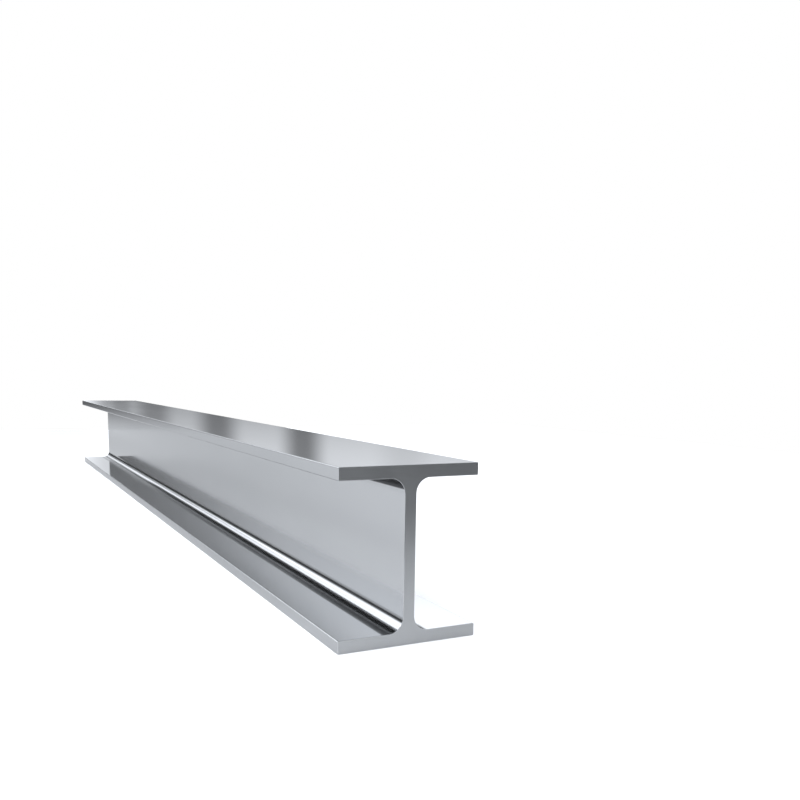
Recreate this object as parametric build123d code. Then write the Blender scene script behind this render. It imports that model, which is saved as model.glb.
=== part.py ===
from build123d import *

import os

# One length of hot-rolled steel beam with parallel flanges and a heavy web, lying on its lower flange.
# X runs along the beam, Y across the flanges and Z up the web.
# The origin is at the middle of the length and of the width, on the underside of the lower flange.

# Driving dimensions in millimetres
beam_length = 1600.0
beam_depth = 150.0
flange_width = 127.0
flange_thickness = 11.0
web_thickness = 10.5
root_radius = 13.0
edge_radius = 1.0
end_bevel = 0.4

# The web stands between the inner faces of the two flanges.
web_height = beam_depth - 2 * flange_thickness
outstand = (flange_width - web_thickness) / 2

# A share below one keeps a curve just clear of the next one on the same wall.
wall_share = 0.95

# A root curve stays within the flat of the flange and within its half of the web.
root_curve = min(root_radius, wall_share * (outstand - edge_radius), wall_share * web_height / 2)

# The rounded edge of a flange stays within half of its thickness.
edge_curve = min(edge_radius, wall_share * flange_thickness / 2)

# The bevel of a cut end follows the rounded edges, so it stays smaller than their radius.
bevel_width = min(end_bevel, wall_share * edge_curve)

# Two corners closer than this are the same corner.
same_corner = 0.001


def corners_beside(outline, distance):
    """The corners of an outline that lie at this distance from the middle of the web."""
    return outline.vertices().filter_by(lambda corner: abs(abs(corner.X) - distance) < same_corner)


def rolled_section():
    """The section as the mill rolls it: two flat flanges on a web, with curved roots and eased edges."""
    flange = Rectangle(flange_width, flange_thickness)
    lower_flange = Pos(0, flange_thickness / 2) * flange
    upper_flange = Pos(0, beam_depth - flange_thickness / 2) * flange
    web = Pos(0, beam_depth / 2) * Rectangle(web_thickness, web_height)
    outline = lower_flange + web + upper_flange
    outline = fillet(corners_beside(outline, web_thickness / 2), root_curve)
    return fillet(corners_beside(outline, flange_width / 2), edge_curve)


def rolled_beam():
    """The section drawn out both ways along the beam, sawn square, with the burr taken off each end."""
    section = Plane.YZ * rolled_section()
    bar = extrude(section, amount=beam_length / 2, both=True)
    end_faces = bar.faces().filter_by(Plane.YZ)
    return chamfer(end_faces.edges(), bevel_width)


i_beam = rolled_beam()

os.makedirs("parts", exist_ok=True)
export_step(i_beam, "parts/i_beam.step")

steel_density = 7.85e-6
print(f"beam {beam_length:.0f} mm long, {i_beam.volume * steel_density:.1f} kg")
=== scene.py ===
# %% [markdown]
# # A bright rolled steel beam
#
# This lesson dresses one length of rolled steel beam. The beam is a single piece of metal: two flat
# flanges on a web, with curved roots, squeezed out of one billet between shaped rollers and then
# sawn to length. There is nothing to assemble, so everything depends on a clean section, true
# surface directions and a studio that gives the steel something worth reflecting.

# %% Open the fixed frame
import math

import bmesh
import bpy
from mathutils import Matrix, Vector


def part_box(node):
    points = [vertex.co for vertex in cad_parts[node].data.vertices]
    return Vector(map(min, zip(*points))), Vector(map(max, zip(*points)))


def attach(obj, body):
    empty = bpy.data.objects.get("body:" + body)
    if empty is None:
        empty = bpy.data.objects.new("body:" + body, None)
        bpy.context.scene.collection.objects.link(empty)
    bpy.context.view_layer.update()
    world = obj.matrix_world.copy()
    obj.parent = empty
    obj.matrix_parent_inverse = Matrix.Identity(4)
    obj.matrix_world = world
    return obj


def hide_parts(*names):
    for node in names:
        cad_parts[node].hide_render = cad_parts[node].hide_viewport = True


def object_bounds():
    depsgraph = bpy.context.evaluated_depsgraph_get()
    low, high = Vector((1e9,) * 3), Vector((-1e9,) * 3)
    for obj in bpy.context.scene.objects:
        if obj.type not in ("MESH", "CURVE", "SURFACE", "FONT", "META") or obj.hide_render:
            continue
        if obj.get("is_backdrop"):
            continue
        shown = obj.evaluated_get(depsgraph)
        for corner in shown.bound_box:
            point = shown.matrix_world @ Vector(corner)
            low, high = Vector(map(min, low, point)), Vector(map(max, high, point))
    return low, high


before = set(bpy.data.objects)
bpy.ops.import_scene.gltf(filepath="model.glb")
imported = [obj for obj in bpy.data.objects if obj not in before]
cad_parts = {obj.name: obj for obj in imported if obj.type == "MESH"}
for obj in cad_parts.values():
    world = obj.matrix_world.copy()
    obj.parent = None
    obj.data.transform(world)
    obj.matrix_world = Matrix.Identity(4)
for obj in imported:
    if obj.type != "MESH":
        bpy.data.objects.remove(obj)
cad_low, cad_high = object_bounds()
print("frame box in metres:", tuple(round(size, 4) for size in cad_high - cad_low))

# %% [markdown]
# ## The sizes of the section
#
# A roller sets every size of the section at once, so a handful of numbers describes the whole beam.
# Length, depth and width come straight from the frame. The thicknesses and the radii are the ones
# the mill would quote, in metres.

# %% Name the sizes
NODE = "i_beam"
beam_low, beam_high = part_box(NODE)
beam_length = beam_high.x - beam_low.x
flange_width = beam_high.y - beam_low.y
beam_depth = beam_high.z - beam_low.z

FLANGE_THICKNESS = 0.011
WEB_THICKNESS = 0.0105
ROOT_RADIUS = 0.013
EDGE_RADIUS = 0.001
END_BEVEL = 0.0004
print(f"beam {beam_length:.3f} long, {beam_depth:.3f} deep, {flange_width:.3f} wide")

# %% [markdown]
# ## The camera
#
# A long object seen from close by is mostly perspective, so the camera is set before anything is
# dressed. It stands near one end, a little above the upper flange, and looks down the length. Its
# place is given in beam depths from the foot of the near end, so it would follow a larger beam. The
# beam sits low in the picture. A vertical lens shift does that and keeps the perspective, which
# tilting the camera would change.

# %% Set the camera
CAMERA_FROM_NEAR_END = (3.9417, -2.0986, 1.4604)
CAMERA_AZIMUTH = 62.72
CAMERA_ELEVATION = 8.33
CAMERA_ROLL = 0.955
PICTURE_SIDE = 800
FOCAL_PIXELS = 838.45
SHIFT_UP = 0.125
SENSOR_WIDTH = 36.0


def place_camera():
    """A camera by the near end, turned about the upright, tipped down and rolled a little."""
    lens = bpy.data.cameras.new("camera")
    lens.sensor_width = SENSOR_WIDTH
    lens.lens = FOCAL_PIXELS / PICTURE_SIDE * SENSOR_WIDTH
    lens.shift_y = SHIFT_UP
    camera = bpy.data.objects.new("camera", lens)
    near_foot = Vector((beam_high.x, 0, beam_low.z))
    place = near_foot + Vector(CAMERA_FROM_NEAR_END) * beam_depth
    around = Matrix.Rotation(math.radians(CAMERA_AZIMUTH), 4, "Z")
    tip = Matrix.Rotation(math.radians(90 - CAMERA_ELEVATION), 4, "X")
    roll = Matrix.Rotation(math.radians(CAMERA_ROLL), 4, "Z")
    camera.matrix_world = Matrix.Translation(place) @ around @ tip @ roll
    bpy.context.scene.collection.objects.link(camera)
    bpy.context.scene.camera = camera
    return camera


camera = place_camera()
print(f"lens {camera.data.lens:.1f} mm, camera {camera.location.length:.2f} m from the origin")

# %% [markdown]
# ## Painted shade in the roots
#
# The roots of this beam carry painted shade: their base colour is darkened where shade falls. In a
# lower root it is a line beside the web and a band beside the flange, with the bright throat
# between. Under the upper flange the root is darkened nearly all the way round. On the right the
# band is narrow and the flat of the flange stays clear. Where the painted shade is weak, it is
# strongest at the near end and fades further in. The shade could be painted with a texture, but it
# follows the section, so the mesh carries it: every point of the outline says how much painted
# shade is there, from 0 to 1.

# %% Say where the painted shade lies in a root
# Painted shade: the turns in degrees over which the darkened colour of a root fades in or out.
UPPER_SHADE_STARTS = (15, 20)
WEB_SHADE_STARTS = (7.5, 12.5)
WEB_SHADE_ENDS = (17.5, 21)
LEFT_FLANGE_SHADE_STARTS = (59, 68)
LEFT_FLANGE_SHADE_THINS = (68, 80)
RIGHT_FLANGE_SHADE_STARTS = (56, 60)
RIGHT_FLANGE_SHADE_ENDS = (66, 71)
WEAK_SHADE = 0.7


def fade(value, low, high):
    """A smooth step from 0 at low to 1 at high."""
    share = min(max((value - low) / (high - low), 0.0), 1.0)
    return share * share * (3 - 2 * share)


def painted_shade_in_root(turn, upper, left):
    """Painted shade at this many degrees round a root, from 0 at the web to 90 at the flange."""
    if upper:
        return fade(turn, *UPPER_SHADE_STARTS)
    beside_web = fade(turn, *WEB_SHADE_STARTS) * (1 - fade(turn, *WEB_SHADE_ENDS))
    if left:
        thinning = 1 - (1 - WEAK_SHADE) * fade(turn, *LEFT_FLANGE_SHADE_THINS)
        beside_flange = fade(turn, *LEFT_FLANGE_SHADE_STARTS) * thinning
    else:
        shade_gone = fade(turn, *RIGHT_FLANGE_SHADE_ENDS)
        beside_flange = fade(turn, *RIGHT_FLANGE_SHADE_STARTS) * (1 - shade_gone)
    return beside_web + beside_flange


for turn in (0, 15, 40, 70):
    lower_shade = painted_shade_in_root(turn, upper=False, left=True)
    upper_shade = painted_shade_in_root(turn, upper=True, left=True)
    print(f"{turn} degrees round a left root: lower {lower_shade:.1f}, upper {upper_shade:.1f}")

# %% Let the painted shade run out on the flange and along the beam
# Painted shade: how it runs out on the flange, and how its weak parts fade along the beam.
SHADE_RUN_OUT = (0.0048, 0.0065)
SHADE_FADES_ALONG = (0.10, 0.27)
EXTRA_FADING = 0.8


def painted_shade_on_flange(run, upper, left):
    """Painted shade on the flat of a flange, this far out from the end of the root curve."""
    edge = 1 - fade(run, *SHADE_RUN_OUT)
    if upper:
        return edge
    return WEAK_SHADE * edge if left else 0.0


def shade_along_beam(painted_shade, distance):
    """The painted shade this far in from the near end. Full shade stays, and weak shade fades."""
    fading = 1 + EXTRA_FADING * fade(distance, *SHADE_FADES_ALONG)
    return max(0.0, 1 - (1 - painted_shade) * fading)


# The print shows how much weak painted shade is left near the near end and further in.
for distance in (0.05, 0.5):
    print(f"thin skin {distance} m in from the near end: {shade_along_beam(WEAK_SHADE, distance):.2f}")

# %% [markdown]
# ## One outline, walked once
#
# The imported construction mesh draws each root curve with only a few flats. Polished steel shows
# every one of them, so the shown beam gets an outline of its own, with true arcs. It could be a
# filleted curve object with a bevel, but then Blender guesses the surface directions. Here each
# point of the outline keeps its own exact outward direction, which the reflections need.

# %% Draw a rounded edge
EDGE_STEPS = 6


def rounded_edge(centre, start_degrees):
    """A quarter circle on a flange edge, as points (y, z, normal_y, normal_z, painted shade)."""
    points = []
    for step in range(EDGE_STEPS + 1):
        angle = math.radians(start_degrees + 90 * step / EDGE_STEPS)
        across, up = math.cos(angle), math.sin(angle)
        y = centre[0] + EDGE_RADIUS * across
        z = centre[1] + EDGE_RADIUS * up
        points.append((y, z, across, up, 0.0))
    return points


print("points round an edge:", EDGE_STEPS + 1)

# %% Draw a root
ROOT_STEPS = 36
# Points on the flat of the flange carry the painted shade as it runs out.
SHADE_RUN_STEPS = 6


def root_curve(upper, left):
    """A root drawn on the right of the web, from the flat of the flange round to the web."""
    wall = beam_depth - FLANGE_THICKNESS if upper else FLANGE_THICKNESS
    into = -1 if upper else 1
    centre_y = WEB_THICKNESS / 2 + ROOT_RADIUS
    centre_z = wall + into * ROOT_RADIUS
    points = []
    for step in range(SHADE_RUN_STEPS, 0, -1):
        run = SHADE_RUN_OUT[1] * step / SHADE_RUN_STEPS
        points.append((centre_y + run, wall, 0.0, into, painted_shade_on_flange(run, upper, left)))
    for step in range(ROOT_STEPS, -1, -1):
        turn = 90 * step / ROOT_STEPS
        across, up = math.cos(math.radians(turn)), into * math.sin(math.radians(turn))
        y = centre_y - ROOT_RADIUS * across
        z = centre_z - ROOT_RADIUS * up
        points.append((y, z, across, up, painted_shade_in_root(turn, upper, left)))
    return points


print("points along a root:", len(root_curve(upper=False, left=True)))

# %% Close the outline


def half_outline(left):
    """Half of the section drawn on the right, from the edge of the underside up to the top's."""
    tip = flange_width / 2 - EDGE_RADIUS
    top = beam_depth
    points = rounded_edge((tip, EDGE_RADIUS), -90)
    points += rounded_edge((tip, FLANGE_THICKNESS - EDGE_RADIUS), 0)
    points += root_curve(upper=False, left=left)
    points += reversed(root_curve(upper=True, left=left))
    points += rounded_edge((tip, top - FLANGE_THICKNESS + EDGE_RADIUS), -90)
    points += rounded_edge((tip, top - EDGE_RADIUS), 0)
    return points


def mirrored(points):
    """The same points on the left of the web, in the order that closes the outline."""
    return [
        (-y, z, -normal_y, normal_z, painted_shade)
        for y, z, normal_y, normal_z, painted_shade in reversed(points)]


outline = half_outline(left=False) + mirrored(half_outline(left=True))
print("outline points:", len(outline))

# %% [markdown]
# ## From outline to beam
#
# Rolling draws the same section out along its whole length, so the mesh is that outline repeated at
# stations. At each sawn end the burr has been filed off. A few rings turn the surface from the side
# to the end face there, and each ring knows its direction, so even a bevel less than half a
# millimetre wide catches a clean line of light.

# %% Place the stations
BEVEL_STEPS = 3
STATION_SPACING = 0.04


def bevel_rings(end):
    """(x, inset, lean) of the rings round one end, from the side wall to the end face."""
    rings = []
    for step in range(BEVEL_STEPS + 1):
        angle = math.radians(90 * step / BEVEL_STEPS)
        back = END_BEVEL * (1 - math.sin(angle))
        inset = END_BEVEL * (1 - math.cos(angle))
        x = beam_high.x - back if end > 0 else beam_low.x + back
        rings.append((x, inset, end * math.sin(angle)))
    return rings


def plain_rings():
    """Rings along the straight length of the beam, evenly spaced."""
    start = beam_low.x + END_BEVEL
    reach = beam_length - 2 * END_BEVEL
    count = round(reach / STATION_SPACING)
    return [(start + reach * index / count, 0.0, 0.0) for index in range(1, count)]


rings = bevel_rings(-1)[::-1] + plain_rings() + bevel_rings(1)
print("rings along the beam:", len(rings))

# %% [markdown]
# ## One closed mesh
#
# The rings are joined face by face, and one flat face closes each end. Blender would work out the
# surface directions by averaging neighbouring faces, which bends the reflections near every edge.
# The exact directions from the outline are set instead, as custom normals. The painted shade is
# stored as a number on each point, which a material can read.

# %% Build the mesh
# The painted shade is stored in this point layer.
PAINTED_SHADE_LAYER = "painted_root_shade"
SAWN_SLOT = 1


def build_beam(name):
    """One closed mesh with its exact surface directions, in the frame of the part."""
    body = bmesh.new()
    directions = []
    painted_shades = []
    loops = []
    for x, inset, lean in rings:
        side = math.sqrt(1 - lean * lean)
        loop = []
        for y, z, normal_y, normal_z, painted_shade in outline:
            loop.append(body.verts.new((x, y - normal_y * inset, z - normal_z * inset)))
            directions.append((lean, side * normal_y, side * normal_z))
            painted_shades.append(shade_along_beam(painted_shade, beam_high.x - x) if lean == 0 else 0.0)
        loops.append(loop)
    count = len(outline)
    for far, near in zip(loops, loops[1:]):
        for index in range(count):
            after = (index + 1) % count
            body.faces.new((far[index], near[index], near[after], far[after]))
    for end_loop in (loops[0], loops[-1][::-1]):
        body.faces.new(end_loop).material_index = SAWN_SLOT
    bmesh.ops.recalc_face_normals(body, faces=body.faces)
    mesh = bpy.data.meshes.new(name)
    body.to_mesh(mesh)
    body.free()
    mesh.attributes.new(PAINTED_SHADE_LAYER, "FLOAT", "POINT").data.foreach_set("value", painted_shades)
    mesh.shade_smooth()
    mesh.normals_split_custom_set_from_vertices(directions)
    beam = bpy.data.objects.new(name, mesh)
    bpy.context.scene.collection.objects.link(beam)
    return beam


beam = build_beam("rolled_beam")
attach(beam, "root")
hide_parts(NODE)
print("faces:", len(beam.data.polygons))

# %% [markdown]
# ## Small tools for node trees
#
# Both finishes and the studio are wired from nodes. Three helpers keep the wiring readable: one
# sets or links a node's inputs by name, one adds a node that way, and one does a single sum. Two
# more are for shader groups. A group is made once, with named inputs and outputs, and placed in
# each material with that material's own values.

# %% Make nodes by name


def set_inputs(tree, node, values):
    """Set each named input of a node to a number, or link it to another node's output."""
    for name, value in values.items():
        if isinstance(value, bpy.types.NodeSocket):
            tree.links.new(value, node.inputs[name])
        else:
            node.inputs[name].default_value = value


def add_node(tree, kind, **values):
    """A new node, with its inputs set by name. An underscore in a name stands for a space."""
    node = tree.nodes.new(kind)
    set_inputs(tree, node, {name.replace("_", " "): value for name, value in values.items()})
    return node


def add_math(tree, operation, *values):
    """One sum of numbers or outputs, as its output."""
    node = tree.nodes.new("ShaderNodeMath")
    node.operation = operation
    for socket, value in zip(node.inputs, values):
        if isinstance(value, bpy.types.NodeSocket):
            tree.links.new(value, socket)
        else:
            socket.default_value = value
    return node.outputs[0]


def new_group(name, inputs, outputs):
    """An empty shader group with its sockets, and the two nodes that stand for them inside."""
    group = bpy.data.node_groups.new(name, "ShaderNodeTree")
    for socket_name, kind in inputs:
        group.interface.new_socket(socket_name, in_out="INPUT", socket_type=kind)
    for socket_name, kind in outputs:
        group.interface.new_socket(socket_name, in_out="OUTPUT", socket_type=kind)
    return group, group.nodes.new("NodeGroupInput"), group.nodes.new("NodeGroupOutput")


def place_group(tree, group, **values):
    """One use of a group in a material, with this material's own values."""
    node = tree.nodes.new("ShaderNodeGroup")
    node.node_tree = group
    set_inputs(tree, node, {name.replace("_", " "): value for name, value in values.items()})
    return node


print("node helpers ready")

# %% [markdown]
# ## Clouds in the polish
#
# No steel is polished evenly. Broad soft patches, some centimetres across, come out a shade lighter
# or duller, and they are what stops a large flat of steel from looking like plastic. A noise
# texture stretched along the beam gives them, because both the rolls and the wheel run that way.

# %% Group for the clouds
VALUE = "NodeSocketFloat"
VECTOR = "NodeSocketVector"
CLOUD_NOISE = {"Detail": 3.0, "Roughness": 0.55}


def cloud_group():
    """Soft patches from 0 to 1. Patch is their size across and Stretch how much longer they are."""
    sockets = [("Place", VECTOR), ("Patch", VALUE), ("Stretch", VALUE)]
    group, given, made = new_group("polish clouds", sockets, [("Cloud", VALUE)])
    split = add_node(group, "ShaderNodeSeparateXYZ", Vector=given.outputs["Place"])
    along = add_math(group, "DIVIDE", split.outputs["X"], given.outputs["Stretch"])
    squeezed = add_node(
        group, "ShaderNodeCombineXYZ", X=along, Y=split.outputs["Y"], Z=split.outputs["Z"])
    often = add_math(group, "DIVIDE", 1.0, given.outputs["Patch"])
    noise = add_node(
        group, "ShaderNodeTexNoise", Vector=squeezed.outputs[0], Scale=often, **CLOUD_NOISE)
    group.links.new(noise.outputs[0], made.inputs["Cloud"])
    return group


clouds = cloud_group()
print("group:", clouds.name)

# %% [markdown]
# ## Fine lines
#
# Everything that touches steel drags along it. The rolls and the polishing belt leave hair lines
# along the beam, and the saw leaves lines across each end. Both are the same effect in another
# direction and at another size, so one group makes them: noise drawn out along the first axis of
# the place that it is given.

# %% Group for the lines
LINE_NOISE = {"Detail": 4.0, "Roughness": 0.65}


def line_group():
    """Hair lines from 0 to 1. Pitch is their width and Run their length, in metres."""
    sockets = [("Place", VECTOR), ("Pitch", VALUE), ("Run", VALUE)]
    group, given, made = new_group("drawn lines", sockets, [("Line", VALUE)])
    split = add_node(group, "ShaderNodeSeparateXYZ", Vector=given.outputs["Place"])
    along = add_math(group, "DIVIDE", split.outputs["X"], given.outputs["Run"])
    across = add_math(group, "DIVIDE", split.outputs["Y"], given.outputs["Pitch"])
    upward = add_math(group, "DIVIDE", split.outputs["Z"], given.outputs["Pitch"])
    drawn = add_node(group, "ShaderNodeCombineXYZ", X=along, Y=across, Z=upward)
    noise = add_node(
        group, "ShaderNodeTexNoise", Vector=drawn.outputs[0], Scale=1.0, **LINE_NOISE)
    group.links.new(noise.outputs[0], made.inputs["Line"])
    return group


drawn_lines = line_group()
print("group:", drawn_lines.name)

# %% [markdown]
# ## The rolled and polished faces
#
# Polished steel is a dim mirror: it gives back about two fifths of the light that meets it head on.
# A Principled BSDF with full Metallic does this from its base colour. Bare theory makes metal rise
# to a perfect mirror at a glancing angle, but rolled steel stays duller there, and the Specular
# Tint holds that edge down. Clouds and lines together shift the tone by a few percent and the
# roughness a little more. The lines also give a trace of relief, and painted shade darkens the
# colour where the mesh says it lies.

# %% Mix colours and spread values
CLOUD_RANGE = (0.3, 0.7)
MARK_RANGE = (0.35, 0.65)


def mix_colour(tree, share, first, second):
    """A colour between two others, by a share from 0 to 1."""
    node = tree.nodes.new("ShaderNodeMix")
    node.data_type = "RGBA"
    inputs = {socket.identifier: socket for socket in node.inputs}
    for key, value in (("Factor_Float", share), ("A_Color", first), ("B_Color", second)):
        if isinstance(value, bpy.types.NodeSocket):
            tree.links.new(value, inputs[key])
        else:
            inputs[key].default_value = value
    return next(socket for socket in node.outputs if socket.identifier == "Result_Color")


def spread(tree, value, low, high, first, second):
    """The value's stretch from low to high, laid out evenly from first to second."""
    node = add_node(
        tree, "ShaderNodeMapRange", Value=value,
        From_Min=low, From_Max=high, To_Min=first, To_Max=second)
    return node.outputs["Result"]


def finish_marks(tree, cloud, line, cloud_share, line_share):
    """The clouds and the lines as one value, each in its own share."""
    cloud_part = add_math(tree, "MULTIPLY", cloud, cloud_share)
    line_part = add_math(tree, "MULTIPLY", line, line_share)
    return add_math(tree, "ADD", cloud_part, line_part)


print("clouds mostly lie between", *CLOUD_RANGE, "and clouds with lines between", *MARK_RANGE)

# %% Mix the polished steel
STEEL_DULL = (0.380, 0.386, 0.393, 1.0)
STEEL_BRIGHT = (0.400, 0.405, 0.411, 1.0)
# The dark colour of the painted shade in the roots, and how patchy and rough it is.
PAINTED_SHADE_TONE = (0.044, 0.045, 0.047, 1.0)
PAINTED_SHADE_PATCHES = (0.94, 1.0)
GLANCING_TINT = (0.58, 0.58, 0.58, 1.0)
POLISH = (0.104, 0.120)
PAINTED_SHADE_ROUGHNESS = 0.30
CLOUD_PATCH = 0.05
CLOUD_STRETCH = 3.0
CLOUD_SHARE = 0.7
GRAIN_SHARE = 0.3
GRAIN_PITCH = 0.0006
GRAIN_RUN = 0.12
GRAIN_RELIEF = 0.000001


def polished_steel():
    """Bright steel with a lengthwise grain, soft clouds and painted shade in the roots."""
    material = bpy.data.materials.new("polished steel")
    material.use_nodes = True
    tree = material.node_tree
    shader = tree.nodes["Principled BSDF"]
    place = tree.nodes.new("ShaderNodeTexCoord").outputs["Object"]
    cloud = place_group(
        tree, clouds, Place=place, Patch=CLOUD_PATCH, Stretch=CLOUD_STRETCH).outputs["Cloud"]
    line = place_group(
        tree, drawn_lines, Place=place, Pitch=GRAIN_PITCH, Run=GRAIN_RUN).outputs["Line"]
    marks = finish_marks(tree, cloud, line, CLOUD_SHARE, GRAIN_SHARE)
    brightness = spread(tree, marks, *MARK_RANGE, 0.0, 1.0)
    tone = mix_colour(tree, brightness, STEEL_DULL, STEEL_BRIGHT)
    # The layer brings in the painted shade, which darkens the colour and raises the roughness.
    layer = tree.nodes.new("ShaderNodeAttribute")
    layer.attribute_name = PAINTED_SHADE_LAYER
    shade_patches = spread(tree, cloud, *CLOUD_RANGE, *PAINTED_SHADE_PATCHES)
    painted_shade = add_math(tree, "MULTIPLY", layer.outputs["Fac"], shade_patches)
    polish = spread(tree, marks, *MARK_RANGE, *POLISH)
    dulled = add_math(tree, "MULTIPLY", painted_shade, PAINTED_SHADE_ROUGHNESS - POLISH[0])
    bump = add_node(tree, "ShaderNodeBump", Height=line, Strength=1.0, Distance=GRAIN_RELIEF)
    set_inputs(tree, shader, {
        "Base Color": mix_colour(tree, painted_shade, tone, PAINTED_SHADE_TONE),
        "Metallic": 1.0,
        "Roughness": add_math(tree, "ADD", polish, dulled),
        "Specular Tint": GLANCING_TINT,
        "Normal": bump.outputs[0],
    })
    return material


beam.data.materials.append(polished_steel())
print("finish:", beam.data.materials[0].name)

# %% [markdown]
# ## The sawn ends
#
# A band saw cuts the beam to length. Its teeth leave a satin face with faint straight lines, which
# spreads reflections wide, so an end shows soft light and shade and no images. The lines run a few
# degrees off level, as the blade comes down at a slant. The place is turned about the beam's axis
# before it goes to the line group, and handed over with the cutting direction first.

# %% Mix the sawn steel
SAWN_DULL = (0.316, 0.322, 0.328, 1.0)
SAWN_BRIGHT = (0.338, 0.343, 0.349, 1.0)
SAWN_ROUGHNESS = (0.34, 0.38)
SAWN_PATCH = 0.03
SAWN_SHARE = 0.5
SAW_SLANT = 8.0
SAW_PITCH = 0.0009
SAW_RUN = 0.09
SAW_RELIEF = 0.000006


def sawn_steel():
    """Satin steel with the faint slanted lines of a band saw."""
    material = bpy.data.materials.new("sawn steel")
    material.use_nodes = True
    tree = material.node_tree
    shader = tree.nodes["Principled BSDF"]
    place = tree.nodes.new("ShaderNodeTexCoord").outputs["Object"]
    turned = tree.nodes.new("ShaderNodeVectorRotate")
    turned.rotation_type = "X_AXIS"
    set_inputs(tree, turned, {"Vector": place, "Angle": math.radians(SAW_SLANT)})
    split = add_node(tree, "ShaderNodeSeparateXYZ", Vector=turned.outputs[0])
    cut = add_node(tree, "ShaderNodeCombineXYZ", X=split.outputs["Y"], Y=split.outputs["Z"])
    line = place_group(
        tree, drawn_lines, Place=cut.outputs[0], Pitch=SAW_PITCH, Run=SAW_RUN).outputs["Line"]
    cloud = place_group(tree, clouds, Place=place, Patch=SAWN_PATCH, Stretch=1.0).outputs["Cloud"]
    marks = finish_marks(tree, cloud, line, SAWN_SHARE, SAWN_SHARE)
    brightness = spread(tree, marks, *MARK_RANGE, 0.0, 1.0)
    bump = add_node(tree, "ShaderNodeBump", Height=line, Strength=1.0, Distance=SAW_RELIEF)
    set_inputs(tree, shader, {
        "Base Color": mix_colour(tree, brightness, SAWN_DULL, SAWN_BRIGHT),
        "Metallic": 1.0,
        "Roughness": spread(tree, marks, *MARK_RANGE, *SAWN_ROUGHNESS),
        "Specular Tint": GLANCING_TINT,
        "Normal": bump.outputs[0],
    })
    return material


beam.data.materials.append(sawn_steel())
print("finish:", beam.data.materials[SAWN_SLOT].name)

# %% [markdown]
# ## The floor
#
# The beam lies on a sheet of matt white card. The card is lit to more than full white, so it runs
# into the white of the backdrop with no edge. The steel sees it as well: both sides of the web and
# every flange edge mirror the card, so its shade is the shade of the beam's sides. Its colour
# carries painted light and shade: it is painted whitest beside the beam and greyer outwards and
# past the near end, standing in for card further from the lamps. Towards the far end the painted
# grey comes in slowly. Beside that end it is as grey as at the sides, and beyond it the painted
# grey goes on darkening.

# %% Lay the floor
FLOOR_REACH = 2.0
# The card's colour carries painted shade: white beside the beam, greyer further out.
CARD_WHITE = 1.0
CARD_PAINTED_SHADE = 0.755
CARD_SIDE_FADE = (0.060, 0.185)
CARD_NEAR_FADE = (0.72, 0.885)
CARD_FAR_FADE = (0.2, -1.8)


def flat_sheet(name, low_corner, high_corner, height):
    """A level rectangle between two corners, as a stage piece."""
    mesh = bpy.data.meshes.new(name)
    mesh.from_pydata([
        (low_corner[0], low_corner[1], height),
        (high_corner[0], low_corner[1], height),
        (high_corner[0], high_corner[1], height),
        (low_corner[0], high_corner[1], height),
    ], [], [(0, 1, 2, 3)])
    sheet = bpy.data.objects.new(name, mesh)
    bpy.context.scene.collection.objects.link(sheet)
    sheet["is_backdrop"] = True
    return sheet


def matt_material(name):
    """A material with no gloss at all, and its node tree and shader."""
    material = bpy.data.materials.new(name)
    material.use_nodes = True
    shader = material.node_tree.nodes["Principled BSDF"]
    set_inputs(material.node_tree, shader, {"Roughness": 1.0, "Specular IOR Level": 0.0})
    return material, material.node_tree, shader


def card_material():
    """White card with painted shade, which greys it with the distance from the beam."""
    material, tree, shader = matt_material("white card")
    place = tree.nodes.new("ShaderNodeTexCoord").outputs["Object"]
    split = add_node(tree, "ShaderNodeSeparateXYZ", Vector=place)
    outward = add_math(tree, "ABSOLUTE", split.outputs["Y"])
    # Painted shade: the card's colour greys with the distance from the beam and along it.
    beside = spread(tree, outward, *CARD_SIDE_FADE, 1.0, 0.0)
    before = spread(tree, split.outputs["X"], *CARD_NEAR_FADE, 1.0, 0.0)
    along = spread(tree, split.outputs["X"], *CARD_FAR_FADE, 1.0, -1.0)
    white = add_math(tree, "MULTIPLY", add_math(tree, "MULTIPLY", beside, before), along)
    tone = spread(tree, white, -1.0, 1.0, 2 * CARD_PAINTED_SHADE - CARD_WHITE, CARD_WHITE)
    tree.links.new(tone, shader.inputs["Base Color"])
    return material


floor = flat_sheet("floor", (-FLOOR_REACH, -FLOOR_REACH), (FLOOR_REACH, FLOOR_REACH), 0.0)
floor.data.materials.append(card_material())
print("floor", floor.dimensions.x, "m square")

# %% [markdown]
# ## Black felt beyond the near end
#
# Photographers who shoot bright metal spend most of their time on what it mirrors. With white card
# all round, the sawn end would be one flat pale grey. A piece of black felt, lying further out than
# the picture reaches, gives the upper part of the end face something dark to mirror, so the face is
# darkest at the top and lightens towards the foot. Only mirror rays see the felt: it casts no shade
# on the card.

# %% Lay the felt
FELT_GAP = 0.32
FELT_LENGTH = 1.5
FELT_SIDES = (-0.2, 2.0)
FELT_HEIGHT = 0.001
FELT_TONE = (0.015, 0.025)
NAP_PATCH = 0.004


def felt_material():
    """Dull black cloth with a faint nap."""
    material, tree, shader = matt_material("black felt")
    place = tree.nodes.new("ShaderNodeTexCoord").outputs["Object"]
    nap = place_group(tree, clouds, Place=place, Patch=NAP_PATCH, Stretch=1.0).outputs["Cloud"]
    tree.links.new(spread(tree, nap, *CLOUD_RANGE, *FELT_TONE), shader.inputs["Base Color"])
    return material


felt_start = beam_high.x + FELT_GAP
felt_end = felt_start + FELT_LENGTH
felt = flat_sheet(
    "black_felt", (felt_start, FELT_SIDES[0]), (felt_end, FELT_SIDES[1]), FELT_HEIGHT)
felt.data.materials.append(felt_material())
felt.visible_camera = False
felt.visible_diffuse = False
felt.visible_shadow = False
print(f"felt starts {FELT_GAP} m past the near end")

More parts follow.
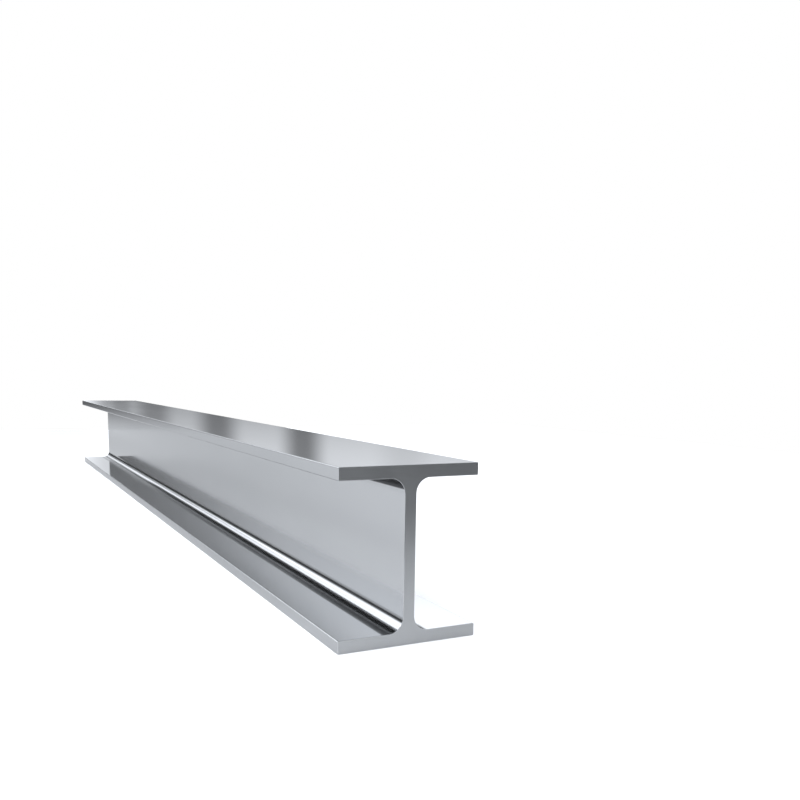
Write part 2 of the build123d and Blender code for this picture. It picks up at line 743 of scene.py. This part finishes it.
# %% [markdown]
# ## The studio, as directions
#
# The lamps and panels are large and far away, so all that matters is the direction in which the
# steel sees them. They could be modelled as glowing sheets, but those would have to be hidden from
# the camera and kept off each other. Drawn in the world shader instead, each one is a patch of
# directions. Blender's sampling map for the world stays off, because it can't know that different
# rays will see different light. Five measures describe a direction here: its elevation above the
# horizon, its roll about the beam's long axis, its level bearing from the beam's far end, its whole
# lean from there, and its side.

# %% Set up the studio's sums
studio_world = bpy.data.worlds.new("studio")
bpy.context.scene.world = studio_world
studio_world.use_nodes = True
studio_world.cycles.sampling_method = "NONE"
studio = studio_world.node_tree
studio.nodes.clear()


def rise(value, low, high):
    """0 below low, 1 above high and a smooth step between them."""
    node = add_node(studio, "ShaderNodeMapRange", Value=value, From_Min=low, From_Max=high)
    node.interpolation_type = "SMOOTHSTEP"
    return node.outputs["Result"]


def rest_of(value):
    """What is left of 1 when the value is taken off."""
    return add_math(studio, "SUBTRACT", 1.0, value)


def fall(value, low, high):
    """1 below low, 0 above high and a smooth step between them."""
    return rest_of(rise(value, low, high))


def chain(operation, values):
    """One sum over any number of values."""
    made = values[0]
    for value in values[1:]:
        made = add_math(studio, operation, made, value)
    return made


def product(*values):
    """All the values multiplied."""
    return chain("MULTIPLY", values)


def total(*values):
    """All the values added."""
    return chain("ADD", values)


def brightest(*values):
    """The largest of the values."""
    return chain("MAXIMUM", values)


print("world:", studio_world.name)

# %% Measure directions
DEGREES = 180 / math.pi

direction = studio.nodes.new("ShaderNodeTexCoord").outputs["Generated"]
ahead, across, upward = add_node(studio, "ShaderNodeSeparateXYZ", Vector=direction).outputs
sideways = add_math(studio, "ABSOLUTE", across)
backward = product(ahead, -1.0)
elevation = product(add_math(studio, "ARCSINE", upward), DEGREES)
roll = product(add_math(studio, "ARCTAN2", upward, sideways), DEGREES)
bearing = product(add_math(studio, "ARCTAN2", sideways, backward), DEGREES)
lean = product(add_math(studio, "ARCCOSINE", backward), DEGREES)
left = add_math(studio, "LESS_THAN", across, 0.0)
right = rest_of(left)
print("studio measures:", len(studio.nodes), "nodes")

# %% [markdown]
# ## A glowing tent with dark bars
#
# Product photographers put bright metal in a tent of white cloth. It is dark at the horizon, where
# the cloth meets the table, and brightens fast above it. That climb is why the upper flange fades
# from light at the near end to grey at the far end. The tent's seams are the soft dark bars that
# cross the flange. They are listed as bearing, half width and depth. A dark curtain hangs across
# the tent's foot at the far left, and keeps the far part of the lower flange deep grey. Low down
# beyond the far end, on the right, the light glows through the cloth, and the far end of the upper
# flange fades to white.

# %% Hang the tent
TENT_FOOT = 1.22
TENT_CLIMB = 0.309
TENT_DARKEST = 0.04
TENT_GLOW = 1.6
TENT_TOP = (35, 75)
TENT_TOP_DROP = 0.4
FAR_GLOW = 1.8
FAR_GLOW_STARTS = (-1.0, 0.5)
FAR_GLOW_TOP = (3, 8)
FAR_GLOW_WIDTH = (5.6, 8.1)

climb = product(total(elevation, -TENT_FOOT), TENT_CLIMB)
cloth = add_math(studio, "MINIMUM", brightest(climb, TENT_DARKEST), TENT_GLOW)
overhead_drop = product(rise(elevation, *TENT_TOP), TENT_TOP_DROP)
cloth = product(cloth, rest_of(overhead_drop))
far_glow_height = product(rise(elevation, *FAR_GLOW_STARTS), fall(elevation, *FAR_GLOW_TOP))
far_glow = product(fall(bearing, *FAR_GLOW_WIDTH), far_glow_height, right, FAR_GLOW)
print(f"the tent brightens by {TENT_CLIMB} a degree, up to {TENT_GLOW}")

# %% Sew the seams and draw the curtain
SEAMS = (
    (27.6, 2.6, 0.15),
    (20.6, 1.9, 0.72),
    (14.95, 1.85, 0.67),
    (10.9, 1.5, 0.52),
    (8.9, 0.8, 0.32),
)
SEAM_CORE = 0.2
CURTAIN_WIDTH = (35, 50)
CURTAIN_TOP = (12, 20)

seams = 1.0
for seam_bearing, half_width, depth in SEAMS:
    away = add_math(studio, "ABSOLUTE", total(bearing, -seam_bearing))
    shade = product(fall(away, SEAM_CORE, half_width), right, depth)
    seams = product(rest_of(shade), seams)
curtain = product(fall(bearing, *CURTAIN_WIDTH), fall(elevation, *CURTAIN_TOP), left)
tent = product(total(cloth, far_glow), seams, rest_of(curtain))
print("tent seams:", len(SEAMS))

# %% [markdown]
# ## The key light and the window
#
# One long strip lamp hangs over the far left of the beam. It has a bright middle band and dimmer
# sides. The root is curved, so it mirrors the whole lamp as one white line. The lower flange is
# flat and, by way of the web, sees little more than the band. The foot of the band hangs in a
# curve, so the flange turns from light to dark grey on a slant. FOOT_BENDS lists each bend of that
# curve as its stretch of roll and its climb in degrees. A soft window on the right whitens the part
# of the lower flange behind the web. A dark corner of the room past the near end keeps the sawn
# face calm.

# %% Hang the key light
KEY_LEAN = (34, 42)
KEY_ROLL = (75, 87)
BAND_GLOW = 5.1
BAND_STARTS = (27.5, 30)
BAND_ENDS = (38.5, 43)
BAND_CLIMB = (0.0, 9.5)
BAND_TOP = (19, 24)
FOOT_START = -0.1
FOOT_BENDS = (((28.9, 32.6), 6.4), ((33, 36), -2.8), ((35.8, 41.5), 9.6))
SIDES_GLOW = 2.8
SIDES_CLIMB = (2.8, 10.5)
FAR_SIDE_STARTS = (40.5, 44.5)

key_limits = product(fall(roll, *KEY_ROLL), fall(lean, *KEY_LEAN), left)
band_width = product(rise(roll, *BAND_STARTS), fall(roll, *BAND_ENDS))
foot = total(*(product(rise(roll, *bend), height) for bend, height in FOOT_BENDS), FOOT_START)
above_foot = add_math(studio, "SUBTRACT", elevation, foot)
band_height = product(rise(above_foot, *BAND_CLIMB), fall(elevation, *BAND_TOP))
band = product(band_height, band_width, BAND_GLOW)
beside_band = rest_of(product(rise(roll, *BAND_STARTS), fall(roll, *FAR_SIDE_STARTS)))
sides = product(rise(elevation, *SIDES_CLIMB), beside_band, SIDES_GLOW)
key = product(total(band, sides), key_limits)
print(f"key light: {BAND_GLOW} in the band and {SIDES_GLOW} beside it")

# %% Open the window and darken the corner
WINDOW_GLOW = 3.5
WINDOW_FOOT = (12.3, 14.8)
WINDOW_TOP = (19.5, 23)
WINDOW_STARTS = (22, 25.5)
WINDOW_ENDS = (35.5, 39)
CORNER_DEPTH = 0.92
CORNER_STARTS = (118, 138)
CORNER_ENDS = (166, 178)
CORNER_TOP = (10, 24)

window_height = product(rise(elevation, *WINDOW_FOOT), fall(elevation, *WINDOW_TOP))
window_width = product(rise(bearing, *WINDOW_STARTS), fall(bearing, *WINDOW_ENDS))
window = product(window_height, window_width, right, WINDOW_GLOW)

corner_width = product(rise(bearing, *CORNER_STARTS), fall(bearing, *CORNER_ENDS))
corner = product(corner_width, fall(elevation, *CORNER_TOP), right, CORNER_DEPTH)
room = product(brightest(tent, key, window), rest_of(corner))
print("window:", WINDOW_GLOW)

# %% [markdown]
# ## Light for the card, the camera and the steel
#
# The three kinds of ray ask the studio for different things. The camera sees plain white behind the
# beam. Mirror rays see the tent, the lamps and, below the horizon, the card running on to the edge
# of the room. All other rays, which light the card, see a soft glow that is twice as strong on the
# left. The light is a touch cool, which gives the steel its faint blue. The view transform is set
# to Standard, because a filmic one would turn the white backdrop grey.

# %% Send each ray its light
COOL = (0.968, 1.0, 1.050, 1.0)
PLAIN = (1.0, 1.0, 1.0, 1.0)
ROOM_DARKEST = 0.05
CARD_BEYOND = 1.4
CARD_HORIZON = (-4.2, -1.2)
FILL = 1.34
FILL_LEFT = 1.34

card_beyond = product(fall(elevation, *CARD_HORIZON), CARD_BEYOND)
seen_in_steel = total(room, card_beyond, ROOM_DARKEST)
fill = total(product(left, FILL_LEFT), FILL)
rays = studio.nodes.new("ShaderNodeLightPath")
mirror_ray = rays.outputs["Is Glossy Ray"]
soft_ray = rest_of(mirror_ray)
strength = total(product(seen_in_steel, mirror_ray), product(fill, soft_ray))

lit = add_node(studio, "ShaderNodeBackground", Color=COOL, Strength=strength)
plain = add_node(studio, "ShaderNodeBackground", Color=PLAIN, Strength=1.0)
choice = studio.nodes.new("ShaderNodeMixShader")
studio.links.new(rays.outputs["Is Camera Ray"], choice.inputs[0])
studio.links.new(lit.outputs[0], choice.inputs[1])
studio.links.new(plain.outputs[0], choice.inputs[2])
output = studio.nodes.new("ShaderNodeOutputWorld")
studio.links.new(choice.outputs[0], output.inputs["Surface"])
bpy.context.scene.view_settings.view_transform = "Standard"
print("studio nodes:", len(studio.nodes))

# %% [markdown]
# ## Check the size
#
# The shown beam has to fill exactly the box of the construction model, since it stands for it. The
# largest difference between the two boxes is printed.

# %% Print the largest difference in size
shown_low, shown_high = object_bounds()
corners = ((shown_low, cad_low), (shown_high, cad_high))
gaps = [abs(shown - built) for pair in corners for shown, built in zip(*pair)]
print(f"largest difference from the frame box: {max(gaps):.6f} m")
